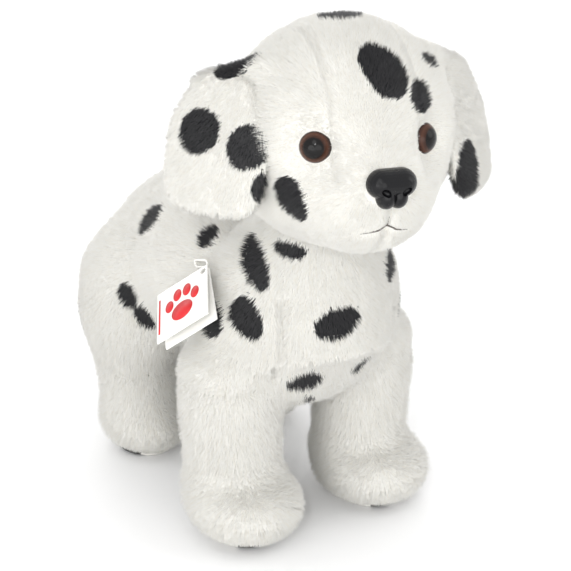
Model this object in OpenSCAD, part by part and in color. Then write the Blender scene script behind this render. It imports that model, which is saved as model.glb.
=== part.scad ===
// Standing plush puppy, sewn from pile fabric over soft stuffing.
// The origin is on the ground under the middle of the body. The puppy faces -Y and +X is its left.

/* [Body] */
// Width of the body across the flanks
body_w = 108; // [96:1:130]
// Length of the body from chest to rump
body_l = 178; // [160:1:214]
// Height of the body at its middle
body_h = 92; // [80:1:110]
// Height of the belly above the ground
belly_z = 72; // [66:1:88]
// Thickness of the fabric and its flattened pile
cover_t = 3; // [2:0.5:4]
// Width of the panel that covers chest and belly
belly_panel_w = 58; // [44:1:70]

/* [Legs] */
// Distance from the flank in to the middle of a leg
leg_inset = 17.5; // [14:0.5:24]
// Radius of a front leg where it joins the shoulder
front_leg_r = 27; // [22:0.5:29]
// Radius of a hind leg where it joins the thigh
hind_leg_r = 25.5; // [22:0.5:29]
// Half width of a front paw
front_paw_r = 28.5; // [23:0.5:31]
// Half width of a hind paw
hind_paw_r = 23.5; // [21:0.5:28]
// Height of the seam that joins a front leg cover to the shoulder
front_seam_z = 80; // [70:1:90]
// Height of the seam that joins a hind leg cover to the thigh
hind_seam_z = 47; // [40:1:56]
// Thickness of a sole
sole_t = 2.5; // [2:0.5:4]

/* [Head] */
// Width of the head
head_w = 106; // [94:1:124]
// Depth of the head from face to nape
head_l = 94; // [84:1:112]
// Height of the head
head_h = 104; // [92:1:122]
// Width of the muzzle
muzzle_w = 64; // [54:1:72]
// Radius of the neck
neck_r = 30; // [26:0.5:33]
// Width of the panel that runs from nose to nape
gusset_w = 38; // [26:1:48]
// How far the head is turned to the puppy's right
head_turn = 11; // [0:1:20]
// How far the head is tipped to one side
head_tip = 2; // [0:0.5:5]

/* [Ears] */
// Width of an ear
ear_w = 54; // [42:1:60]
// Length of an ear below its seam
ear_l = 62; // [51:1:75]
// Thickness of an ear
ear_t = 13; // [10:0.5:15]
// Radius of the rolled root of an ear
ear_root_r = 4.5; // [3.5:0.5:5.5]

/* [Tail] */
// Length of the tail
tail_l = 42; // [34:1:50]
// Radius of the tail
tail_r = 9; // [7:0.5:10.5]

/* [Face] */
// Diameter of an eye
eye_d = 14; // [12:0.5:17]
// Distance between the middles of the eyes
eye_gap = 52; // [46:1:58]
// Diameter of the shank behind an eye or the nose
shank_d = 4; // [3:0.5:5]
// Length of the shank
shank_l = 13; // [10:0.5:15]
// Width of the nose
nose_w = 22; // [18:0.5:27]
// Height of the nose
nose_h = 17; // [14:0.5:20.5]
// Thickness of the mouth thread
thread_d = 1.2; // [0.8:0.1:1.8]

/* [Tag] */
// Width of the folded card
tag_w = 31; // [26:1:37]
// Height of the folded card
tag_h = 30; // [25:1:36]
// Thickness of the card
tag_t = 0.6; // [0.4:0.1:1]
// Length of the thread loop that holds the card
loop_l = 15; // [12:0.5:18]

/* [Fits] */
// Gap between pieces that are sewn or packed together
seam_gap = 0.15; // [0.1:0.05:0.4]
// Gap between pieces that move past each other
move_gap = 0.4; // [0.3:0.05:0.8]

/* [Hidden] */

soft_fn = 20;
fine_fn = 36;
far = 400;

// Middle of the body
body_y = 19.5;
mid_z = belly_z + body_h / 2;
chest_r = [body_w / 2 - 2, 40, body_h / 2 + 6];
mid_r = [body_w / 2, body_l * 0.382, body_h / 2];
rump_r = [body_w / 2 - 2, 44, body_h / 2 + 3];
thigh_r = [29, 38, 40];
chest_c = [0, body_y - body_l / 2 + chest_r.y, mid_z - 6];
mid_c = [0, body_y - 5, mid_z];
rump_c = [0, body_y + body_l / 2 - rump_r.y, mid_z - 12.5];
thigh_c = [body_w / 2 - 19, rump_c.y + 10, mid_z - 32];

// Legs, as for the puppy's left side
leg_x = body_w / 2 - leg_inset;
front_leg_top = [leg_x + 1, chest_c.y + 2, front_seam_z];
front_leg_foot = [leg_x, chest_c.y + 2, 22];
front_paw_c = [leg_x + 0.5, chest_c.y - 10, 19];
front_paw_size = [front_paw_r, front_paw_r + 3, 19];
hind_leg_top = [leg_x + 0.5, rump_c.y + 8, 72];
hind_leg_foot = [leg_x - 2, rump_c.y + 7, 22];
hind_paw_c = [leg_x - 2, rump_c.y + 4, 17];
hind_paw_size = [hind_paw_r, hind_paw_r + 5, 17];
ankle_narrow = 3;
sole_share = 0.62;

// Head, measured from the neck pivot that its hinge goes through
head_r = [head_w / 2, head_l / 2, head_h / 2];
pivot = [0, chest_c.y - 18, mid_z + 32];
head_c = [0, -16, head_r.z + 4];
muzzle_r = [muzzle_w / 2, 30, 30];
muzzle_c = head_c + [0, -head_r.y + 17.5, -16];
dome_r = neck_r + 26;
dome_z = pivot.z + 24 - dome_r;

// Eyes and nose, in the head's own frame
eye_turn = 33;
eye_rise = 8;
eye_c = head_c + [eye_gap / 2, -head_r.y + 12, 4];
socket_r = eye_d / 2 + 9;
eye_set = 2;
dome_h = eye_d * 0.36;
nose_c = [0, muzzle_c.y - muzzle_r.y + 3, muzzle_c.z + 7];
nose_proud = 7;
washer_t = 1.5;
washer_d = 15;

// Ears: the root is on the side of the head, and the blade hangs down from it
ear_turn = 43;
ear_root_drop = 25;
ear_root_side = sqrt(1 - pow(1 - ear_root_drop / head_r.z, 2)) * head_r.x;
ear_root_c = head_c + [ear_root_side + 4, 2, head_r.z - ear_root_drop];
ear_root_half = ear_w / 2 - 12;
ear_tilt = 17;
ear_slope = 22;
ear_slices = 6;
ear_end = 0.12;
ear_tip_full = 2.8;
ear_seam_y = 0.7;

// Tail
tail_c = [0, rump_c.y + rump_r.y - 1, rump_c.z + 14];
tail_bow = 8;
tail_taper = 2.5;
tail_slices = 6;

// Tag, hung on the right flank
tag_anchor = [-body_w / 2 + 7, chest_c.y + 17, mid_z + 17];
loop_turn = [0, -19, -94];
tag_corner = tag_anchor
    + loop_l * [cos(loop_turn.z) * cos(loop_turn.y), sin(loop_turn.z) * cos(loop_turn.y), -sin(loop_turn.y)];
loop_w = 4;
loop_r = 0.4;
tag_turn = [0, -37, -49];
tag_lean = 31;
tag_open = 10;
hole_edge = 2.6;
hole_r = 1.6;

// ---- Shapes that repeat ----

// An egg with half sizes r, grown by g all round
module egg(c, r, g = 0, fn = soft_fn)
    hull()
        translate(c)
            scale([r.x + g, r.y + g, r.z + g])
                sphere(r = 1, $fn = fn);

module ball(c, r, fn = soft_fn)
    translate(c)
        sphere(r = r, $fn = fn);

// Its children, mirrored to the puppy's right when side is -1
module on_side(side)
    mirror([side < 0 ? 1 : 0, 0, 0])
        children();

module both_sides()
    for (side = [1, -1])
        on_side(side)
            children();

// Everything above height z
module above(z)
    translate([-far, -far, z])
        cube([2 * far, 2 * far, far]);

module below(z)
    translate([-far, -far, z - far])
        cube([2 * far, 2 * far, far]);

// Everything on the puppy's left of x
module left_of(x)
    translate([x, -far, -far])
        cube([far, 2 * far, 2 * far]);

// Puts its children in the head's place
module in_head()
    translate(pivot)
        rotate([0, head_tip, -head_turn])
            children();

// ---- Outlines, each grown by g ----

module leg_form(top, foot, top_r, paw_c, paw_size, g = 0) {
    hull() {
        ball(top, top_r + g);
        ball(foot, top_r - ankle_narrow + g);
    }
    hull() {
        ball(foot, top_r - ankle_narrow + g);
        translate(paw_c)
            scale(paw_size + [g, g, g])
                sphere(r = 1, $fn = soft_fn);
    }
}

module front_leg_form(g = 0)
    leg_form(front_leg_top, front_leg_foot, front_leg_r, front_paw_c, front_paw_size, g);

module hind_leg_form(g = 0)
    leg_form(hind_leg_top, hind_leg_foot, hind_leg_r, hind_paw_c, hind_paw_size, g);

// The neck and its rounded top are turned about the head's hinge
module neck_form(g = 0)
    translate([pivot.x, pivot.y, 0])
        intersection() {
            translate([0, 0, mid_z - 10])
                cylinder(r = neck_r + g, h = far / 2, $fn = 2 * soft_fn);
            translate([0, 0, dome_z])
                sphere(r = dome_r + g, $fn = 3 * soft_fn);
        }

// The room that the head needs as it turns
module head_room()
    difference() {
        egg(pivot + [0, 0, head_c.z], [head_r.y + 36, head_r.y + 36, head_r.z], move_gap, 2 * soft_fn);
        neck_form();
    }

module trunk_form(g = 0) {
    egg(chest_c, chest_r, g);
    hull() {
        egg(chest_c + [0, 6, -2], chest_r - [3, 4, 8], g);
        egg(mid_c, mid_r, g);
    }
    hull() {
        egg(mid_c, mid_r, g);
        egg(rump_c, rump_r, g);
    }
    both_sides()
        egg(thigh_c, thigh_r, g);
    both_sides()
        intersection() {
            hind_leg_form(g);
            above(hind_seam_z - min(g, 0));
        }
    both_sides()
        intersection() {
            front_leg_form(g);
            above(front_seam_z - min(g, 0));
        }
}

// The trunk with its neck, g smaller or larger, clear of the head and of the tail's root
module body_form(g = 0) {
    difference() {
        trunk_form(g);
        head_room();
        ball(tail_c, tail_r + move_gap - g);
        ball(tag_anchor, 2.5 - g);
    }
    neck_form(g);
}

module head_form(g = 0)
    difference() {
        union() {
            egg(head_c, head_r, g);
            hull() {
                egg(muzzle_c, muzzle_r, g);
                egg(muzzle_c + [0, 26, 8], muzzle_r + [6, 0, 4], g);
            }
        }
        both_sides()
            translate(eye_c)
                rotate([90 - eye_rise, 0, eye_turn])
                    egg([0, 0, socket_r - 1], [socket_r, socket_r, socket_r], -g);
    }

// The neck as the head sees it
module head_neck_cut(g)
    rotate([0, -head_tip, 0])
        translate(-pivot)
            neck_form(g);

// Ear frame: X along the ear's width, Y out of its face, Z up along the ear
module at_ear()
    translate(ear_root_c)
        rotate([0, 0, 90 - ear_turn])
            mirror([0, 1, 0])
                rotate([ear_tilt, 0, 0])
                    children();

// The same, with X along the sloping root that the ear's hinge lies in
module at_ear_root()
    at_ear()
        rotate([0, ear_slope, 0])
            children();

module ear_roll(g = 0)
    at_ear_root()
        rotate([0, 90, 0])
            cylinder(r = ear_root_r + g, h = 2 * (ear_root_half + g), center = true, $fn = soft_fn);

// Half the width of the ear at share s of its length
function ear_half_w(s) =
    let (full = s < 0.5 ? 2 : ear_tip_full)
        ear_w / 2 * pow(1 - pow(abs(s - 0.5) / 0.52, full), 1 / full);

// One cross piece of the ear; the first is its root
module ear_slice(s, g)
    if (s == 0)
        at_ear_root()
            rotate([0, 90, 0])
                cylinder(r = ear_root_r + g, h = 2 * ear_root_half, center = true, $fn = soft_fn);
    else
        at_ear()
            translate([0, 2, -ear_l * s * (1 - ear_end)])
                scale([ear_half_w(s * (1 - ear_end)) + g, ear_t / 2 + g, ear_l * ear_end + g])
                    sphere(r = 1, $fn = soft_fn);

module ear_blade(g = 0)
    for (i = [0 : ear_slices - 1])
        hull() {
            ear_slice(i / ear_slices, g);
            ear_slice((i + 1) / ear_slices, g);
        }

module ear_form(g = 0) {
    difference() {
        ear_blade(g);
        head_form(move_gap);
    }
    ear_roll(g);
}

// The ball of the tail at share s of its length
module tail_slice(s, g)
    ball(tail_c + [0, tail_bow * sin(150 * s), -tail_l * s], tail_r - tail_taper * s * s + g);

module tail_form(g = 0) {
    difference() {
        for (i = [0 : tail_slices - 1])
            hull() {
                tail_slice(i / tail_slices, g);
                tail_slice((i + 1) / tail_slices, g);
            }
        egg(rump_c, rump_r, move_gap);
        egg(rump_c + [0, -8, 0], rump_r, move_gap);
    }
    ball(tail_c, tail_r + g);
}

// ---- Body ----

module body_shell()
    difference() {
        body_form();
        body_form(-cover_t);
    }

// The part of space that the chest and belly panel covers
module belly_zone(g = 0)
    translate([0, chest_c.y - 30, mid_z + 8])
        rotate([-12, 0, 0])
            translate([-belly_panel_w / 2 - g, -far / 2, -far / 2])
                cube([belly_panel_w + 2 * g, far, far / 2 + g]);

module body_panel(side)
    color("white")
        intersection() {
            difference() {
                body_shell();
                belly_zone(seam_gap);
            }
            on_side(side)
                left_of(seam_gap / 2);
        }

module body_panel_left() body_panel(1);

module body_panel_right() body_panel(-1);

module belly_panel()
    color("white")
        intersection() {
            body_shell();
            belly_zone();
        }

module body_stuffing()
    color("ivory")
        body_form(-cover_t - seam_gap);

// ---- Legs ----

module leg_cover(side, seam_z)
    color("snow")
        on_side(side)
            difference() {
                children(0);
                children(1);
                trunk_form(seam_gap);
                above(seam_z - seam_gap);
                below(sole_t + seam_gap);
            }

module leg_filling(side, seam_z)
    color("ivory")
        on_side(side)
            difference() {
                children(0);
                trunk_form(seam_gap);
                above(seam_z - 2 * seam_gap);
                below(sole_t + seam_gap);
            }

// A flat oval with half sizes r
module oval(r)
    polygon([for (i = [0 : 2 * soft_fn - 1])
        [r.x * cos(180 * i / soft_fn), r.y * sin(180 * i / soft_fn)]]);

// A flat sole, as large as the paw is at its height
module leg_sole(side, paw_c, paw_size)
    color("dimgray")
        on_side(side)
            translate([paw_c.x, paw_c.y, 0])
                linear_extrude(sole_t)
                    oval(paw_size * sole_share);

module front_leg_cover(side)
    leg_cover(side, front_seam_z) {
        front_leg_form();
        front_leg_form(-cover_t);
    }

module hind_leg_cover(side)
    leg_cover(side, hind_seam_z) {
        hind_leg_form();
        hind_leg_form(-cover_t);
    }

module front_leg_cover_left() front_leg_cover(1);

module front_leg_cover_right() front_leg_cover(-1);

module hind_leg_cover_left() hind_leg_cover(1);

module hind_leg_cover_right() hind_leg_cover(-1);

module front_leg_stuffing_left() leg_filling(1, front_seam_z) front_leg_form(-cover_t - seam_gap);

module front_leg_stuffing_right() leg_filling(-1, front_seam_z) front_leg_form(-cover_t - seam_gap);

module hind_leg_stuffing_left() leg_filling(1, hind_seam_z) hind_leg_form(-cover_t - seam_gap);

module hind_leg_stuffing_right() leg_filling(-1, hind_seam_z) hind_leg_form(-cover_t - seam_gap);

module front_sole_left() leg_sole(1, front_paw_c, front_paw_size);

module front_sole_right() leg_sole(-1, front_paw_c, front_paw_size);

module hind_sole_left() leg_sole(1, hind_paw_c, hind_paw_size);

module hind_sole_right() leg_sole(-1, hind_paw_c, hind_paw_size);

// ---- Head ----

// Eye frame: Z out of the face, its origin on the fabric
module at_eye(side)
    on_side(side)
        translate(eye_c)
            rotate([90 - eye_rise, 0, eye_turn])
                translate([0, 0, -eye_set])
                    children();

// Nose frame: Z forward, Y up
module at_nose()
    translate(nose_c)
        rotate([90 - 8, 0, 0])
            children();

module shank_room(d)
    translate([0, 0, -shank_l - move_gap])
        cylinder(d = d, h = shank_l + 2, $fn = soft_fn);

module washer_room()
    translate([0, 0, -cover_t - 3 * washer_t])
        cylinder(d = washer_d + 2 * seam_gap, h = 3 * washer_t, $fn = soft_fn);

// Pockets that the eyes, the nose and their washers take out of the fabric and the stuffing
module face_pockets() {
    for (side = [1, -1])
        at_eye(side) {
            cylinder(d = eye_d + 2 * seam_gap, h = eye_d, $fn = 2 * soft_fn);
            shank_room(shank_d + 2 * seam_gap);
        }
    at_nose() {
        nose_room(seam_gap);
        shank_room(shank_d + 2 * seam_gap);
    }
}

module washer_pockets() {
    for (side = [1, -1])
        at_eye(side)
            washer_room();
    at_nose()
        washer_room();
}

module ear_pockets()
    both_sides() {
        ear_roll(move_gap);
    }

module head_shell()
    difference() {
        head_form();
        head_form(-cover_t);
        head_neck_cut(move_gap);
        face_pockets();
        washer_pockets();
        ear_pockets();
    }

// The part of space that the panel from nose to nape covers
module gusset_zone(g = 0)
    translate([-gusset_w / 2 - g, -far / 2, muzzle_c.z + 4 - g])
        cube([gusset_w + 2 * g, far, far]);

module head_panel(side)
    color("white")
        in_head()
            intersection() {
                difference() {
                    head_shell();
                    gusset_zone(seam_gap);
                }
                on_side(side)
                    left_of(seam_gap / 2);
            }

module head_panel_left() head_panel(1);

module head_panel_right() head_panel(-1);

module head_gusset()
    color("white")
        in_head()
            intersection() {
                head_shell();
                gusset_zone();
            }

module head_stuffing()
    color("ivory")
        in_head()
            difference() {
                head_form(-cover_t - seam_gap);
                head_neck_cut(move_gap);
                face_pockets();
                washer_pockets();
                ear_pockets();
            }

// A domed eye on a flat back with a shank
module eye(side)
    color("black")
        in_head()
            at_eye(side) {
                cap_r = (pow(eye_d / 2, 2) + pow(dome_h, 2)) / (2 * dome_h);
                intersection() {
                    translate([0, 0, dome_h - cap_r])
                        sphere(r = cap_r, $fn = fine_fn);
                    cylinder(d = eye_d, h = eye_d, $fn = fine_fn);
                }
                translate([0, 0, -shank_l])
                    cylinder(d = shank_d, h = shank_l + dome_h / 2, $fn = soft_fn);
            }

module eye_left() eye(1);

module eye_right() eye(-1);

module washer()
    color("gainsboro")
        translate([0, 0, -cover_t - 2 * washer_t])
            difference() {
                cylinder(d = washer_d, h = washer_t, $fn = fine_fn);
                translate([0, 0, -1])
                    cylinder(d = shank_d + 2 * seam_gap, h = washer_t + 2, $fn = soft_fn);
            }

module eye_washer_left() in_head() at_eye(1) washer();

module eye_washer_right() in_head() at_eye(-1) washer();

// Half of the nose's bar and one of the two lobes below it, both g larger
module nose_end(side, g, fn)
    translate([side * nose_w * 0.2, nose_h * 0.13, 0])
        scale([nose_w * 0.3 + g, nose_h * 0.37 + g, nose_proud + g])
            sphere(r = 1, $fn = fn);

module nose_lobe(side, g, fn)
    translate([side * nose_w * 0.12, -nose_h * 0.2, 0])
        scale([nose_w * 0.19 + g, nose_h * 0.3 + g, nose_proud * 0.9 + g])
            sphere(r = 1, $fn = fn);

// The nose is a broad rounded bar above two small lobes, which meet in a groove below
module nose_solid(fn = soft_fn) {
    hull()
        for (side = [1, -1])
            nose_end(side, 0, fn);
    for (side = [1, -1])
        hull() {
            translate([side * nose_w * 0.14, nose_h * 0.08, 0])
                scale([nose_w * 0.2, nose_h * 0.2, nose_proud * 0.8])
                    sphere(r = 1, $fn = fn);
            nose_lobe(side, 0, fn);
        }
}

// The room that the nose takes, without the groove
module nose_room(g)
    hull()
        for (side = [1, -1]) {
            nose_end(side, g, soft_fn);
            nose_lobe(side, g, soft_fn);
        }

module nose()
    color("black")
        in_head()
            at_nose() {
                difference() {
                    nose_solid(1.4 * soft_fn);
                    below(-1);
                    for (side = [1, -1])
                        translate([side * nose_w * 0.21, -nose_h * 0.05, nose_proud * 0.95])
                            rotate([0, 0, side * 35])
                                scale([2.4, 1.6, 2.6])
                                    sphere(r = 1, $fn = soft_fn);
                }
                translate([0, 0, -shank_l])
                    cylinder(d = shank_d, h = shank_l, $fn = soft_fn);
            }

module nose_washer() in_head() at_nose() washer();

// A point on the muzzle at angle a from straight ahead and height h above its middle
function on_muzzle(a, h) =
    muzzle_c + [muzzle_r.x * sqrt(1 - pow(h / muzzle_r.z, 2)) * sin(a),
                -muzzle_r.y * sqrt(1 - pow(h / muzzle_r.z, 2)) * cos(a), h];

mouth_span = 24;
mouth_steps = 8;
mouth_rise = -11;
mouth_fall = 3.5;
mouth_path = [for (i = [-mouth_steps : mouth_steps])
    on_muzzle(mouth_span * i / mouth_steps, mouth_rise - mouth_fall * pow(i / mouth_steps, 2))];

module mouth_thread()
    color("dimgray")
        in_head()
            for (i = [0 : len(mouth_path) - 2])
                hull() {
                    ball(mouth_path[i], thread_d / 2, 8);
                    ball(mouth_path[i + 1], thread_d / 2, 8);
                }

// ---- Ears ----

// Half of an ear: face is 1 for the side that shows and -1 for the side against the head
module ear_half(side, face)
    color("white")
        in_head()
            on_side(side)
                intersection() {
                    ear_form();
                    at_ear_root()
                        translate([-far, ear_seam_y + (face > 0 ? seam_gap / 2 : -far - seam_gap / 2), -far])
                            cube([2 * far, far, 2 * far]);
                }

module ear_front_left() ear_half(1, 1);

module ear_front_right() ear_half(-1, 1);

module ear_back_left() ear_half(1, -1);

module ear_back_right() ear_half(-1, -1);

// ---- Tail ----

module tail_cover()
    color("white")
        difference() {
            tail_form();
            tail_form(-cover_t);
        }

module tail_stuffing()
    color("ivory")
        tail_form(-cover_t - seam_gap);

// ---- Tag ----

// Loop frame: X runs from the stitch in the flank along the loop
module at_loop()
    translate(tag_anchor)
        rotate(loop_turn)
            children();

// Tag frame: the fold runs back along -X from the loop, and the leaves hang along -Y
module at_tag()
    translate(tag_corner)
        rotate(tag_turn)
            children();

module tag_leaf(lean, back = 0)
    at_tag()
        rotate([lean, 0, 0])
            translate([-tag_w, -tag_h - tag_t, -tag_t / 2 - back])
                difference() {
                    cube([tag_w, tag_h - 2 * back, tag_t]);
                    translate([tag_w - hole_edge, tag_h - hole_edge, -1])
                        cylinder(r = hole_r, h = tag_t + 2, $fn = soft_fn);
                }

module tag_front_leaf() color("white") tag_leaf(tag_lean);

module tag_back_leaf() color("white") tag_leaf(tag_lean + tag_open, tag_t + seam_gap);

// A long loop of thread with round ends
module tag_loop()
    color("white")
        at_loop() {
            for (end = [0, 1])
                translate([end ? loop_l - loop_w / 2 : loop_w / 2, 0, 0])
                    rotate([90, 0, 0])
                        rotate([0, 0, end ? -90 : 90])
                            rotate_extrude(angle = 180, $fn = fine_fn)
                                translate([loop_w / 2 - loop_r, 0])
                                    circle(r = loop_r, $fn = soft_fn);
            for (side = [1, -1])
                translate([loop_w / 2, 0, side * (loop_w / 2 - loop_r)])
                    rotate([0, 90, 0])
                        cylinder(r = loop_r, h = loop_l - loop_w, $fn = soft_fn);
        }

body_panel_left();
body_panel_right();
belly_panel();
body_stuffing();
front_leg_cover_left();
front_leg_cover_right();
hind_leg_cover_left();
hind_leg_cover_right();
front_leg_stuffing_left();
front_leg_stuffing_right();
hind_leg_stuffing_left();
hind_leg_stuffing_right();
front_sole_left();
front_sole_right();
hind_sole_left();
hind_sole_right();
head_panel_left();
head_panel_right();
head_gusset();
head_stuffing();
eye_left();
eye_right();
eye_washer_left();
eye_washer_right();
nose();
nose_washer();
mouth_thread();
ear_front_left();
ear_front_right();
ear_back_left();
ear_back_right();
tail_cover();
tail_stuffing();
tag_front_leaf();
tag_back_leaf();
tag_loop();
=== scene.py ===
"""Looks of the sewn plush puppy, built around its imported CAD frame.

Shapes are worked out in millimetres in the part's own frame: the puppy faces -Y, +X is its left and the
origin is on the ground. Each stuffed piece is a closed skin made from distance formulas, and its pile is
real geometry: fine tapered strands that lean along the nap.
"""

import math

import bpy
import numpy as np
from mathutils import Matrix, Vector


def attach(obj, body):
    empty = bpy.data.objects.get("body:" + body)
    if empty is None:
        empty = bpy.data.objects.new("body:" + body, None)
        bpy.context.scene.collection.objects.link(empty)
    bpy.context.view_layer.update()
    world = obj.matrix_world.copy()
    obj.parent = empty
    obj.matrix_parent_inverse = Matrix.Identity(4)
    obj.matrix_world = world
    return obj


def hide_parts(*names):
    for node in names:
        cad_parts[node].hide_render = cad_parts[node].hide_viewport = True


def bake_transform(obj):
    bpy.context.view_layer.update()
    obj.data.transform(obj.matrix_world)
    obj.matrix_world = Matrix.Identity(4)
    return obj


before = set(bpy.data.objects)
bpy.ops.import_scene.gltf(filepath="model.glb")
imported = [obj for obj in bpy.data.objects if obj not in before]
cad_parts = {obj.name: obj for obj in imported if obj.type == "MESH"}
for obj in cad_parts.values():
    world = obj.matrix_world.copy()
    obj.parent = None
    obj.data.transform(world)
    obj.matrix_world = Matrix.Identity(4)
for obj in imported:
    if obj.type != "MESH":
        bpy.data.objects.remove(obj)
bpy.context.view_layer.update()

MM = 0.001
TINY = 1e-9
SIDES = ((1, "left"), (-1, "right"))

# ---- Sizes, as the part has them ----

BELLY_Z, BODY_H, BODY_W, BODY_L, BODY_Y = 72.0, 92.0, 108.0, 178.0, 19.5
MID_Z = BELLY_Z + BODY_H / 2
CHEST_R = np.array([BODY_W / 2 - 2, 40, BODY_H / 2 + 6])
MID_R = np.array([BODY_W / 2, BODY_L * 0.382, BODY_H / 2])
RUMP_R = np.array([BODY_W / 2 - 2, 44, BODY_H / 2 + 3])
THIGH_R = np.array([29.0, 38, 40])
CHEST_C = np.array([0, BODY_Y - BODY_L / 2 + CHEST_R[1], MID_Z - 6])
MID_C = np.array([0, BODY_Y - 5, MID_Z])
RUMP_C = np.array([0, BODY_Y + BODY_L / 2 - RUMP_R[1], MID_Z - 12.5])
THIGH_C = np.array([BODY_W / 2 - 19, RUMP_C[1] + 10, MID_Z - 32])
BELLY_PANEL_W = 58.0

LEG_X = BODY_W / 2 - 17.5
FRONT_SEAM_Z, HIND_SEAM_Z = 80.0, 47.0
SOLE_T = 2.5
FRONT_LEG = dict(
    top=np.array([LEG_X + 1, CHEST_C[1] + 2, FRONT_SEAM_Z]), top_r=27.0,
    foot=np.array([LEG_X, CHEST_C[1] + 2, 22]), foot_r=24.0,
    paw=np.array([LEG_X + 0.5, CHEST_C[1] - 10, 19]), paw_r=np.array([28.5, 31.0, 19]),
)
HIND_LEG = dict(
    top=np.array([LEG_X + 0.5, RUMP_C[1] + 8, 72]), top_r=25.5,
    foot=np.array([LEG_X - 2, RUMP_C[1] + 7, 22]), foot_r=22.5,
    paw=np.array([LEG_X - 2, RUMP_C[1] + 4, 17]), paw_r=np.array([23.5, 28.5, 17]),
)

PIVOT = np.array([0, CHEST_C[1] - 18, MID_Z + 32])
HEAD_R = np.array([53.0, 47, 52])
HEAD_C = np.array([0, -16, HEAD_R[2] + 4])
HEAD_TURN, HEAD_TIP = -11.0, 2.0
MUZZLE_R = np.array([32.0, 30, 30])
MUZZLE_C = HEAD_C + [0, -HEAD_R[1] + 17.5, -16]
GUSSET_W = 38.0
NECK_R, NECK_DOME_R, NECK_DOME_Z = 30.0, 56.0, 118.0

EYE_D, EYE_GAP, EYE_TURN, EYE_RISE = 14.0, 52.0, 33.0, 8.0
EYE_C = HEAD_C + [EYE_GAP / 2, -HEAD_R[1] + 12, 4]
SOCKET_R = EYE_D / 2 + 9
NOSE_C = np.array([0, MUZZLE_C[1] - MUZZLE_R[1] + 3, MUZZLE_C[2] + 7])
NOSE_W, NOSE_H = 22.0, 17.0

EAR_ROOT_DROP = 25.0
EAR_ROOT_C = HEAD_C + [
    math.sqrt(1 - (1 - EAR_ROOT_DROP / HEAD_R[2]) ** 2) * HEAD_R[0] + 4, 2, HEAD_R[2] - EAR_ROOT_DROP]
EAR_TURN, EAR_TILT, EAR_SLOPE = 47.0, 17.0, 22.0
EAR_W, EAR_L, EAR_END, EAR_ROOT_HALF, EAR_ROOT_R = 54.0, 62.0, 0.12, 15.0, 4.5
EAR_FULL_TOP, EAR_FULL_TIP = 2.0, 2.8

TAIL_R, TAIL_L, TAIL_BOW, TAIL_TAPER = 9.0, 42.0, 8.0, 2.5
TAIL_C = np.array([0, RUMP_C[1] + RUMP_R[1] - 1, RUMP_C[2] + 14])

# Length of the pile on each region, and how much of it lies under the CAD outline
BODY_PILE, LEG_PILE, HEAD_PILE, FACE_PILE, EAR_PILE = 5.0, 6.2, 4.8, 3.4, 3.8
SKIN_DEPTH = 0.68
TAIL_PILE, TAIL_INSET = 5.0, 3.0

# Strands to a square millimetre, the degrees that they lean, and half of a strand's width
BODY_STRANDS, LEG_STRANDS, HEAD_STRANDS, EAR_STRANDS, TAIL_STRANDS = 3.4, 3.2, 5.2, 4.6, 3.0
BODY_LEAN, LEG_LEAN, HEAD_LEAN, EAR_LEAN, TAIL_LEAN = 36, 38, 40, 42, 40
STRAND_R, HEAD_STRAND_R, EAR_STRAND_R = 0.24, 0.22, 0.20

# Mesh steps of the skins
TORSO_STEP, HEAD_STEP, SMALL_STEP = 2.0, 1.6, 1.5

# Mouth: half of its width in degrees, its height on the muzzle, how far its ends fall and its points a side
MOUTH_SPAN, MOUTH_RISE, MOUTH_FALL, MOUTH_STEPS = 24.0, -11.0, 3.5, 24
MOUTH_R, MOUTH_THINNING, LIP_R, LIP_L = 0.36, 0.26, 0.3, 5.0


# ---- Distance formulas: negative inside ----

def length(v):
    return np.sqrt((v * v).sum(-1))


def unit(v):
    return v / np.maximum(length(v), TINY)[..., None]


def ramp(x, low, high):
    """0 up to low, 1 from high, smooth between."""
    t = np.clip((x - low) / (high - low), 0, 1)
    return t * t * (3 - 2 * t)


def egg(p, c, r):
    q = (p - c) / r
    k = length(q)
    return k * (k - 1) / np.maximum(length(q / r), TINY)


def cone(p, a, b, ra, rb):
    """A rod from a to b whose radius goes from ra to rb, with round ends."""
    ab = b - a
    t = np.clip(((p - a) @ ab) / (ab @ ab), 0, 1)
    return length(p - a - t[:, None] * ab) - (ra + t * (rb - ra))


def join(a, b, k):
    """The union of two shapes, filleted over about k."""
    h = np.clip(0.5 + 0.5 * (b - a) / k, 0, 1)
    return b + (a - b) * h - k * h * (1 - h)


def cut(a, b, k):
    """Shape a less shape b, with a rounded edge."""
    return -join(-a, b, k)


def loft(p, c0, r0, c1, r1, steps=3, k=2.0):
    """A shape that goes from one egg to another."""
    c0, r0, c1, r1 = (np.asarray(v, float) for v in (c0, r0, c1, r1))
    d = egg(p, c0, r0)
    for i in range(1, steps + 2):
        t = i / (steps + 1)
        d = join(d, egg(p, c0 + (c1 - c0) * t, r0 + (r1 - r0) * t), k)
    return d


def turned(x=0, y=0, z=0):
    m = Matrix.Rotation(math.radians(z), 3, "Z") @ Matrix.Rotation(math.radians(y), 3, "Y")
    return np.array(m @ Matrix.Rotation(math.radians(x), 3, "X"))


def mirrored(v, side):
    return np.asarray(v) * [side, 1, 1]


def leg_shape(p, leg):
    d = cone(p, leg["top"], leg["foot"], leg["top_r"], leg["foot_r"])
    paw = loft(p, leg["foot"], np.full(3, leg["foot_r"]), leg["paw"], leg["paw_r"], 2)
    return join(d, paw, 8)


def neck_shape(p):
    q = p - [PIVOT[0], PIVOT[1], NECK_DOME_Z]
    d = np.maximum(length(q[:, :2]) - NECK_R, length(q) - NECK_DOME_R)
    return np.maximum(d, 100 - p[:, 2])


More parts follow.
